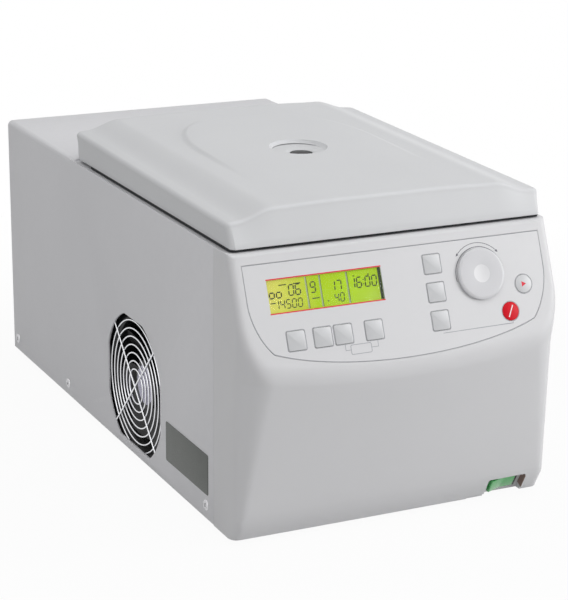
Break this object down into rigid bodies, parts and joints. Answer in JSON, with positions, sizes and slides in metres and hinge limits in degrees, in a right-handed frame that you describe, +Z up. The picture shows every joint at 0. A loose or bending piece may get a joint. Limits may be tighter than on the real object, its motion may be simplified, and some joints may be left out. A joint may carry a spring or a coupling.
{
  "type": "refrigerated_microcentrifuge",
  "caption": "Refrigerated bench microcentrifuge with hinged lid, angle rotor, sloping key console and side fan",
  "frame": {"origin": "on the bench under the middle of the machine", "axes": "+Z up, +X to the right seen from the front, front faces -Y"},
  "size_m": [0.281, 0.564, 0.2732],
  "materials": {
    "case_white": "fine grained moulding",
    "panel_grey": "smooth membrane",
    "sheet_paint": "powder coat",
    "key_grey": "smooth",
    "stop_red": "smooth",
    "dark_plastic": "moulded",
    "switch_green": "glossy",
    "lcd_green": "backlit display",
    "glass_clear": "clear cover",
    "smoked_glass": "smoked, glossy",
    "stainless": "brushed",
    "chrome": "bright",
    "alloy": "bare",
    "dark_alloy": "dark anodised",
    "black_steel": "black paint",
    "copper": "copper pipe",
    "rubber": "matte",
    "foam": "foam",
    "board_green": "board"
  },
  "bodies": {
    "case": {"membrane_panel": "panel_grey", "front_bezel": "case_white", "case_cover": "sheet_paint", "rear_panel": "sheet_paint", "top_tray": "sheet_paint", "display_window": "glass_clear", "display_module": "lcd_green", "control_board": "board_green", "power_switch_housing": "dark_plastic", "mains_inlet": "dark_plastic", "lock_unit_left": "dark_plastic", "lock_unit_right": "dark_plastic", "fan_frame": "dark_plastic", "base_pan": "black_steel", "drive_motor": "black_steel", "motor_plate": "black_steel", "compressor": "black_steel", "foot_front_left": "rubber", "foot_front_right": "rubber", "foot_rear_left": "rubber", "foot_rear_right": "rubber", "chamber_seal": "rubber", "motor_damper_1": "rubber", "motor_damper_2": "rubber", "motor_damper_3": "rubber", "hinge_bracket_left": "stainless", "hinge_bracket_right": "stainless", "hinge_shaft": "stainless", "chamber_bowl": "stainless", "chamber_foam": "foam", "evaporator_coil": "copper", "condenser": "alloy", "fan_guard": "chrome"},
    "lid": {"lid_cover": "case_white", "lid_liner": "dark_plastic", "lid_window": "smoked_glass", "hinge_arm_left": "dark_alloy", "hinge_arm_right": "dark_alloy", "lid_striker_left": "stainless", "lid_striker_right": "stainless"},
    "rotor": {"angle_rotor": "dark_alloy", "rotor_lid": "alloy", "rotor_lid_nut": "dark_plastic", "rotor_shaft": "stainless"},
    "fan": {"fan_impeller": "dark_plastic"},
    "dial": {"speed_dial": "panel_grey"},
    "rocker": {"power_rocker": "switch_green"},
    "bolt_left": {"lock_bolt_left": "stainless"},
    "bolt_right": {"lock_bolt_right": "stainless"},
    "key_speed": {"key_speed": "key_grey"},
    "key_ramp": {"key_ramp": "key_grey"},
    "key_temperature": {"key_temperature": "key_grey"},
    "key_time": {"key_time": "key_grey"},
    "key_program": {"key_program": "key_grey"},
    "key_menu": {"key_menu": "key_grey"},
    "key_quick": {"key_quick": "key_grey"},
    "key_start": {"key_start": "key_grey"},
    "key_stop": {"key_stop": "stop_red"}
  },
  "joints": [
    {"name": "lid_hinge", "type": "hinge", "parent": "case", "child": "lid", "pos_m": [0, 0.107, 0.222], "axis": [-1, 0, 0], "range_deg": [0, 70]},
    {"name": "rotor_spin", "type": "hinge", "parent": "case", "child": "rotor", "pos_m": [0, -0.08, 0.1], "axis": [0, 0, 1], "continuous": true},
    {"name": "fan_spin", "type": "hinge", "parent": "case", "child": "fan", "pos_m": [-0.12, -0.045, 0.0664], "axis": [1, 0, 0], "continuous": true},
    {"name": "dial_turn", "type": "hinge", "parent": "case", "child": "dial", "pos_m": [0.0723, -0.25735, 0.199], "axis": [0, -0.9272, 0.3746], "continuous": true},
    {"name": "rocker_tilt", "type": "hinge", "parent": "case", "child": "rocker", "pos_m": [0.103, -0.25034, 0.01552], "axis": [0, 0.4878, -0.8729], "range_deg": [0, 16]},
    {"name": "bolt_slide_left", "type": "slide", "parent": "case", "child": "bolt_left", "axis": [-1, 0, 0], "range_m": [0, 0.008]},
    {"name": "bolt_slide_right", "type": "slide", "parent": "case", "child": "bolt_right", "axis": [1, 0, 0], "range_m": [0, 0.008]},
    {"name": "key_speed_press", "type": "slide", "parent": "case", "child": "key_speed", "axis": [0, 0.9272, -0.3746], "range_m": [0, 0.0005], "stiffness_N_per_m": 400},
    {"name": "key_ramp_press", "type": "slide", "parent": "case", "child": "key_ramp", "axis": [0, 0.9272, -0.3746], "range_m": [0, 0.0005], "stiffness_N_per_m": 400},
    {"name": "key_temperature_press", "type": "slide", "parent": "case", "child": "key_temperature", "axis": [0, 0.9272, -0.3746], "range_m": [0, 0.0005], "stiffness_N_per_m": 400},
    {"name": "key_time_press", "type": "slide", "parent": "case", "child": "key_time", "axis": [0, 0.9272, -0.3746], "range_m": [0, 0.0005], "stiffness_N_per_m": 400},
    {"name": "key_program_press", "type": "slide", "parent": "case", "child": "key_program", "axis": [0, 0.9272, -0.3746], "range_m": [0, 0.0005], "stiffness_N_per_m": 400},
    {"name": "key_menu_press", "type": "slide", "parent": "case", "child": "key_menu", "axis": [0, 0.9272, -0.3746], "range_m": [0, 0.0005], "stiffness_N_per_m": 400},
    {"name": "key_quick_press", "type": "slide", "parent": "case", "child": "key_quick", "axis": [0, 0.9272, -0.3746], "range_m": [0, 0.0005], "stiffness_N_per_m": 400},
    {"name": "key_start_press", "type": "slide", "parent": "case", "child": "key_start", "axis": [0, 0.9272, -0.3746], "range_m": [0, 0.0005], "stiffness_N_per_m": 400},
    {"name": "key_stop_press", "type": "slide", "parent": "case", "child": "key_stop", "axis": [0, 0.9272, -0.3746], "range_m": [0, 0.0005], "stiffness_N_per_m": 400}
  ],
  "couplings": [
    {"joint": "bolt_slide_right", "follows": "bolt_slide_left", "ratio": 1}
  ]
}
